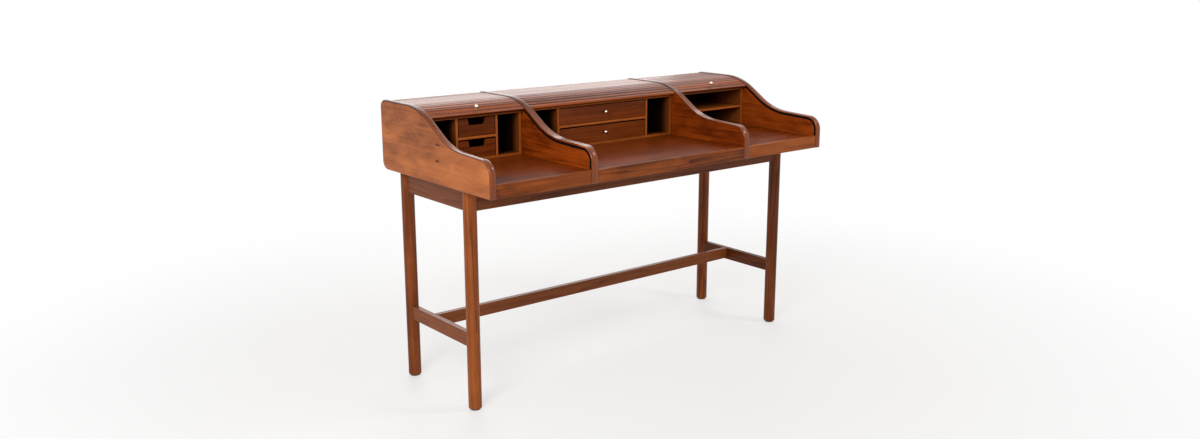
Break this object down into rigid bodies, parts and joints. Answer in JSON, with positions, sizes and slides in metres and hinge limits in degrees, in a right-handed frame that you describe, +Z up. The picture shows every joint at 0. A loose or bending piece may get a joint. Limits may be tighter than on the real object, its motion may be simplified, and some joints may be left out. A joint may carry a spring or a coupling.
{
  "type": "tambour desk",
  "caption": "Three-bay writing desk with S-shaped gables, two tambour doors, pigeonhole units with small drawers, and a stand of round legs with a low stretcher.",
  "frame": {"origin": "on the floor under the centre of the desk's length and depth", "axes": "+X along the desk to the right as seen by the user, +Y to the back, +Z up; the user sits on the -Y side"},
  "size_m": [1.422, 0.632, 0.924],
  "materials": {
    "case_wood": "satin lacquered red-brown hardwood",
    "slat_wood": "satin lacquered reeded hardwood",
    "unit_wood": "satin lacquered hardwood",
    "drawer_wood": "satin lacquered hardwood",
    "stand_wood": "satin lacquered turned and planed hardwood",
    "knob_metal": "bright nickel-plated ball knob",
    "screw_metal": "plain brass screw",
    "glide_plastic": "dark hard plastic"
  },
  "bodies": {
    "desk": {"left_gable": "case_wood", "right_gable": "case_wood", "left_divider": "case_wood", "right_divider": "case_wood", "left_worktop": "case_wood", "centre_worktop": "case_wood", "right_worktop": "case_wood", "case_bottom": "case_wood", "back_panel": "case_wood", "back_screws": "screw_metal", "left_roof": "slat_wood", "centre_roof": "slat_wood", "right_roof": "slat_wood", "left_unit": "unit_wood", "centre_unit": "unit_wood", "right_unit": "unit_wood", "leg_glides": "glide_plastic", "front_rail": "stand_wood", "back_rail": "stand_wood", "left_rail": "stand_wood", "right_rail": "stand_wood", "left_stretcher": "stand_wood", "right_stretcher": "stand_wood", "long_stretcher": "stand_wood", "front_left_leg": "stand_wood", "front_right_leg": "stand_wood", "back_left_leg": "stand_wood", "back_right_leg": "stand_wood"},
    "left_door": {"left_lead_rail": "slat_wood", "left_door_knob": "knob_metal"},
    "left_curtain_01": {"left_slats_01": "slat_wood"},
    "left_curtain_02": {"left_slats_02": "slat_wood"},
    "left_curtain_03": {"left_slats_03": "slat_wood"},
    "left_curtain_04": {"left_slats_04": "slat_wood"},
    "left_curtain_05": {"left_slats_05": "slat_wood"},
    "left_curtain_06": {"left_slats_06": "slat_wood"},
    "left_curtain_07": {"left_slats_07": "slat_wood"},
    "left_curtain_08": {"left_slats_08": "slat_wood"},
    "left_curtain_09": {"left_slats_09": "slat_wood"},
    "left_curtain_10": {"left_slats_10": "slat_wood"},
    "left_curtain_11": {"left_slats_11": "slat_wood"},
    "right_door": {"right_lead_rail": "slat_wood", "right_door_knob": "knob_metal"},
    "right_curtain_01": {"right_slats_01": "slat_wood"},
    "right_curtain_02": {"right_slats_02": "slat_wood"},
    "right_curtain_03": {"right_slats_03": "slat_wood"},
    "right_curtain_04": {"right_slats_04": "slat_wood"},
    "right_curtain_05": {"right_slats_05": "slat_wood"},
    "right_curtain_06": {"right_slats_06": "slat_wood"},
    "right_curtain_07": {"right_slats_07": "slat_wood"},
    "right_curtain_08": {"right_slats_08": "slat_wood"},
    "right_curtain_09": {"right_slats_09": "slat_wood"},
    "right_curtain_10": {"right_slats_10": "slat_wood"},
    "right_curtain_11": {"right_slats_11": "slat_wood"},
    "upper_small": {"upper_small_drawer": "drawer_wood"},
    "upper_wide": {"upper_wide_drawer": "drawer_wood", "upper_drawer_knob": "knob_metal"},
    "lower_small": {"lower_small_drawer": "drawer_wood"},
    "lower_wide": {"lower_wide_drawer": "drawer_wood", "lower_drawer_knob": "knob_metal"}
  },
  "joints": [
    {"name": "left_door_run", "type": "hinge", "parent": "desk", "child": "left_door", "pos_m": [-0.51625, -0.01618, 0.53078], "axis": [-1, 0, 0], "range_deg": [-62.37, 0], "deforming": ["left_slats_01", "left_slats_02", "left_slats_03", "left_slats_04", "left_slats_05", "left_slats_06", "left_slats_07", "left_slats_08", "left_slats_09", "left_slats_10", "left_slats_11"]},
    {"name": "left_curtain_01_run", "type": "hinge", "parent": "desk", "child": "left_curtain_01", "pos_m": [-0.51625, 0.051, 0.33142], "axis": [-1, 0, 0], "range_deg": [-40.99, 0]},
    {"name": "left_curtain_02_run", "type": "hinge", "parent": "desk", "child": "left_curtain_02", "pos_m": [-0.51625, 0.26444, -0.36557], "axis": [-1, 0, 0], "range_deg": [-18, 0]},
    {"name": "left_curtain_03_run", "type": "hinge", "parent": "desk", "child": "left_curtain_03", "pos_m": [-0.51625, -2.13619, 7.85832], "axis": [-1, 0, 0], "range_deg": [0, 3.15]},
    {"name": "left_curtain_04_run", "type": "slide", "parent": "desk", "child": "left_curtain_04", "axis": [0, 0.9598, 0.2808], "range_m": [-0.40164, 0]},
    {"name": "left_curtain_05_run", "type": "hinge", "parent": "desk", "child": "left_curtain_05", "pos_m": [-0.51625, 1.12494, -2.91842], "axis": [-1, 0, 0], "range_deg": [-5.84, 0]},
    {"name": "left_curtain_06_run", "type": "hinge", "parent": "desk", "child": "left_curtain_06", "pos_m": [-0.51625, 0.2796, 0.08585], "axis": [-1, 0, 0], "range_deg": [-28.01, 0]},
    {"name": "left_curtain_07_run", "type": "hinge", "parent": "desk", "child": "left_curtain_07", "pos_m": [-0.51625, 0.14832, 0.63508], "axis": [-1, 0, 0], "range_deg": [-81.85, 0]},
    {"name": "left_curtain_08_run", "type": "hinge", "parent": "desk", "child": "left_curtain_08", "pos_m": [-0.51625, 0.13413, 0.73976], "axis": [-1, 0, 0], "range_deg": [-119.57, 0]},
    {"name": "left_curtain_09_run", "type": "hinge", "parent": "desk", "child": "left_curtain_09", "pos_m": [-0.51625, 0.13414, 0.74904], "axis": [-1, 0, 0], "range_deg": [-124.42, 0]},
    {"name": "left_curtain_10_run", "type": "hinge", "parent": "desk", "child": "left_curtain_10", "pos_m": [-0.51625, 0.13356, 0.74689], "axis": [-1, 0, 0], "range_deg": [-123.11, 0]},
    {"name": "left_curtain_11_run", "type": "hinge", "parent": "desk", "child": "left_curtain_11", "pos_m": [-0.51625, 0.12775, 0.73527], "axis": [-1, 0, 0], "range_deg": [-115.54, 0]},
    {"name": "right_door_run", "type": "hinge", "parent": "desk", "child": "right_door", "pos_m": [0.51625, -0.01618, 0.53078], "axis": [-1, 0, 0], "range_deg": [-62.37, 0], "deforming": ["right_slats_01", "right_slats_02", "right_slats_03", "right_slats_04", "right_slats_05", "right_slats_06", "right_slats_07", "right_slats_08", "right_slats_09", "right_slats_10", "right_slats_11"]},
    {"name": "right_curtain_01_run", "type": "hinge", "parent": "desk", "child": "right_curtain_01", "pos_m": [0.51625, 0.051, 0.33142], "axis": [-1, 0, 0], "range_deg": [-40.99, 0]},
    {"name": "right_curtain_02_run", "type": "hinge", "parent": "desk", "child": "right_curtain_02", "pos_m": [0.51625, 0.26444, -0.36557], "axis": [-1, 0, 0], "range_deg": [-18, 0]},
    {"name": "right_curtain_03_run", "type": "hinge", "parent": "desk", "child": "right_curtain_03", "pos_m": [0.51625, -2.13619, 7.85832], "axis": [-1, 0, 0], "range_deg": [0, 3.15]},
    {"name": "right_curtain_04_run", "type": "slide", "parent": "desk", "child": "right_curtain_04", "axis": [0, 0.9598, 0.2808], "range_m": [-0.40164, 0]},
    {"name": "right_curtain_05_run", "type": "hinge", "parent": "desk", "child": "right_curtain_05", "pos_m": [0.51625, 1.12494, -2.91842], "axis": [-1, 0, 0], "range_deg": [-5.84, 0]},
    {"name": "right_curtain_06_run", "type": "hinge", "parent": "desk", "child": "right_curtain_06", "pos_m": [0.51625, 0.2796, 0.08585], "axis": [-1, 0, 0], "range_deg": [-28.01, 0]},
    {"name": "right_curtain_07_run", "type": "hinge", "parent": "desk", "child": "right_curtain_07", "pos_m": [0.51625, 0.14832, 0.63508], "axis": [-1, 0, 0], "range_deg": [-81.85, 0]},
    {"name": "right_curtain_08_run", "type": "hinge", "parent": "desk", "child": "right_curtain_08", "pos_m": [0.51625, 0.13413, 0.73976], "axis": [-1, 0, 0], "range_deg": [-119.57, 0]},
    {"name": "right_curtain_09_run", "type": "hinge", "parent": "desk", "child": "right_curtain_09", "pos_m": [0.51625, 0.13414, 0.74904], "axis": [-1, 0, 0], "range_deg": [-124.42, 0]},
    {"name": "right_curtain_10_run", "type": "hinge", "parent": "desk", "child": "right_curtain_10", "pos_m": [0.51625, 0.13356, 0.74689], "axis": [-1, 0, 0], "range_deg": [-123.11, 0]},
    {"name": "right_curtain_11_run", "type": "hinge", "parent": "desk", "child": "right_curtain_11", "pos_m": [0.51625, 0.12775, 0.73527], "axis": [-1, 0, 0], "range_deg": [-115.54, 0]},
    {"name": "upper_small_slide", "type": "slide", "parent": "desk", "child": "upper_small", "axis": [0, -1, 0], "range_m": [0, 0.15]},
    {"name": "upper_wide_slide", "type": "slide", "parent": "desk", "child": "upper_wide", "axis": [0, -1, 0], "range_m": [0, 0.15]},
    {"name": "lower_small_slide", "type": "slide", "parent": "desk", "child": "lower_small", "axis": [0, -1, 0], "range_m": [0, 0.15]},
    {"name": "lower_wide_slide", "type": "slide", "parent": "desk", "child": "lower_wide", "axis": [0, -1, 0], "range_m": [0, 0.15]}
  ],
  "couplings": [
    {"joint": "left_curtain_01_run", "follows": "left_door_run", "ratio": 0.6443},
    {"joint": "left_curtain_02_run", "follows": "left_door_run", "ratio": 0.28297},
    {"joint": "left_curtain_03_run", "follows": "left_door_run", "ratio": -0.049555},
    {"joint": "left_curtain_04_run", "follows": "left_door_run", "m_per_rad": 0.36172},
    {"joint": "left_curtain_05_run", "follows": "left_door_run", "ratio": 0.09186},
    {"joint": "left_curtain_06_run", "follows": "left_door_run", "ratio": 0.44023},
    {"joint": "left_curtain_07_run", "follows": "left_door_run", "ratio": 1.2866},
    {"joint": "left_curtain_08_run", "follows": "left_door_run", "ratio": 1.8795},
    {"joint": "left_curtain_09_run", "follows": "left_door_run", "ratio": 1.9558},
    {"joint": "left_curtain_10_run", "follows": "left_door_run", "ratio": 1.9351},
    {"joint": "left_curtain_11_run", "follows": "left_door_run", "ratio": 1.8161},
    {"joint": "right_curtain_01_run", "follows": "right_door_run", "ratio": 0.6443},
    {"joint": "right_curtain_02_run", "follows": "right_door_run", "ratio": 0.28297},
    {"joint": "right_curtain_03_run", "follows": "right_door_run", "ratio": -0.049555},
    {"joint": "right_curtain_04_run", "follows": "right_door_run", "m_per_rad": 0.36172},
    {"joint": "right_curtain_05_run", "follows": "right_door_run", "ratio": 0.09186},
    {"joint": "right_curtain_06_run", "follows": "right_door_run", "ratio": 0.44023},
    {"joint": "right_curtain_07_run", "follows": "right_door_run", "ratio": 1.2866},
    {"joint": "right_curtain_08_run", "follows": "right_door_run", "ratio": 1.8795},
    {"joint": "right_curtain_09_run", "follows": "right_door_run", "ratio": 1.9558},
    {"joint": "right_curtain_10_run", "follows": "right_door_run", "ratio": 1.9351},
    {"joint": "right_curtain_11_run", "follows": "right_door_run", "ratio": 1.8161}
  ]
}
